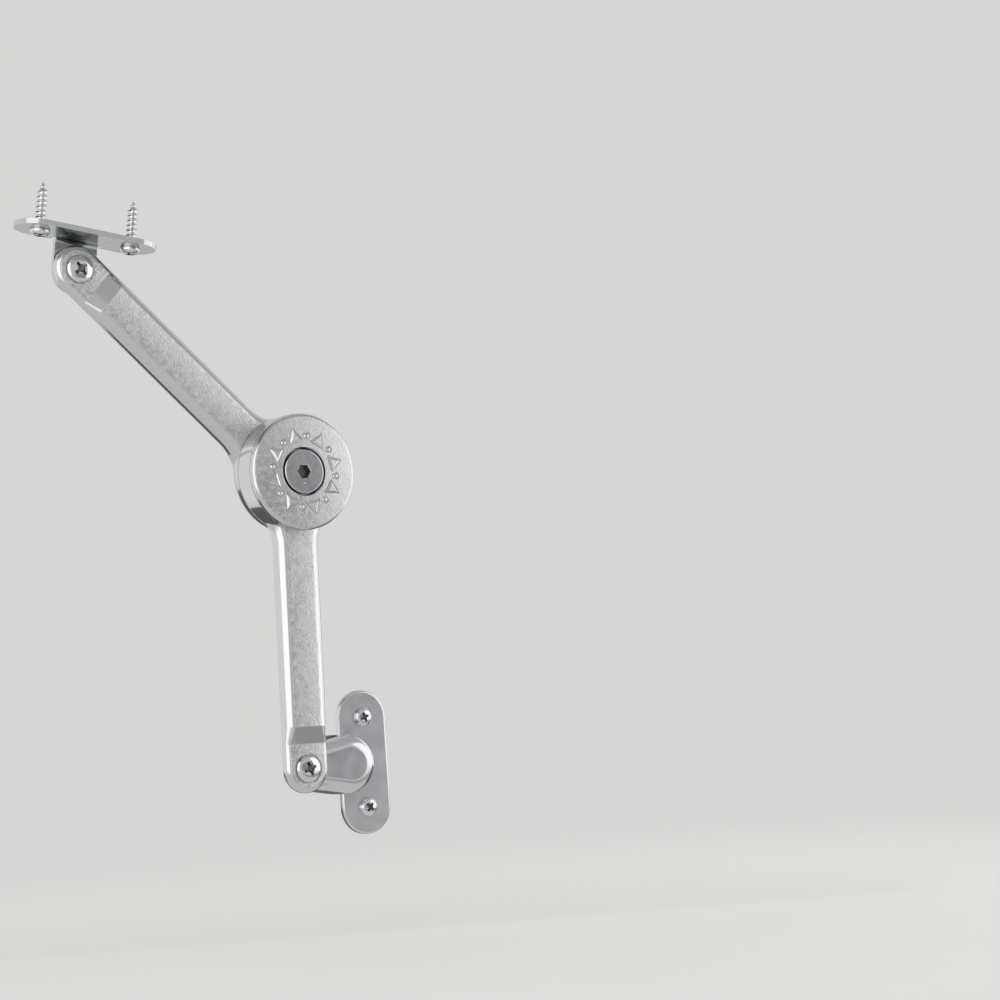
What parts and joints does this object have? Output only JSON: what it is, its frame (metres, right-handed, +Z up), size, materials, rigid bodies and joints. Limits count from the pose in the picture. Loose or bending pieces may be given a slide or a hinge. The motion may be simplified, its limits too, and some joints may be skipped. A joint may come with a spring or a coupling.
{
  "type": "soft close lid support",
  "caption": "Two-arm soft close support for a lid or seat, with a friction brake in the drum between the arms, a wall bracket and a lid bracket.",
  "frame": {"origin": "middle of the wall bracket's foot, on the plane of the wall", "axes": "+Z up along the wall, +Y into the wall away from the object, +X along the wall towards the right of the picture"},
  "size_m": [0.1301, 0.0384, 0.213],
  "materials": {
    "chromed_zinc": "satin chromed die casting with bright shoulders",
    "cap_chrome": "fine textured chromed casting with a bright rim",
    "nickel_casting": "satin nickel plated casting",
    "nickel_sheet": "nickel plated bent sheet steel",
    "adjuster_steel": "turned and satin chromed steel",
    "chromed_screw": "bright chromed steel",
    "zinc_plated_steel": "bright zinc plate",
    "hardened_steel": "ground and oiled",
    "spring_steel": "blued",
    "nylon": "moulded, natural colour",
    "acetal": "moulded, natural colour",
    "friction_lining": "pressed fibre lining",
    "seal_rubber": "moulded rubber"
  },
  "bodies": {
    "wall_bracket": {"wall_bracket": "nickel_casting", "wall_bracket_screws": "chromed_screw", "lower_pivot_screw": "chromed_screw", "lower_pivot_washer": "nylon"},
    "lower_arm": {"lower_arm": "chromed_zinc", "lower_pivot_bush": "nylon", "front_cap": "cap_chrome", "friction_linings": "friction_lining"},
    "upper_arm": {"upper_arm": "chromed_zinc", "upper_pivot_bush": "nylon", "rear_cover": "zinc_plated_steel", "spindle": "hardened_steel", "clutch_ring": "hardened_steel", "clutch_rollers": "hardened_steel", "bearing_disc": "acetal", "seal_ring": "seal_rubber", "friction_plate": "hardened_steel", "pressure_plate": "hardened_steel", "disc_springs": "spring_steel"},
    "lid_bracket": {"lid_bracket": "nickel_sheet", "lid_bracket_screws": "chromed_screw", "upper_pivot_screw": "chromed_screw", "upper_pivot_nut": "zinc_plated_steel", "upper_pivot_washer": "nylon"},
    "thrust_washer": {"thrust_washer": "zinc_plated_steel"},
    "adjuster": {"adjuster_screw": "adjuster_steel"}
  },
  "joints": [
    {"name": "lower_pivot", "type": "hinge", "parent": "wall_bracket", "child": "lower_arm", "pos_m": [-0.0307, -0.0155, 0], "axis": [0, 1, 0], "range_deg": [-45, 80]},
    {"name": "drum", "type": "hinge", "parent": "lower_arm", "child": "upper_arm", "pos_m": [-0.02902, -0.0166, 0.09599], "axis": [0, 1, 0], "range_deg": [-104, 35]},
    {"name": "upper_pivot", "type": "hinge", "parent": "upper_arm", "child": "lid_bracket", "pos_m": [-0.09889, -0.0105, 0.16182], "axis": [0, 1, 0], "range_deg": [-100, 20]},
    {"name": "thrust_washer_slide", "type": "slide", "parent": "upper_arm", "child": "thrust_washer", "axis": [0, -1, 0], "range_m": [0, 0.001]},
    {"name": "adjuster_turn", "type": "hinge", "parent": "thrust_washer", "child": "adjuster", "pos_m": [-0.02902, -0.0225, 0.09599], "axis": [0, -1, 0], "range_deg": [0, 360]}
  ],
  "couplings": [
    {"joint": "thrust_washer_slide", "follows": "adjuster_turn", "m_per_rad": 0.00015915}
  ]
}
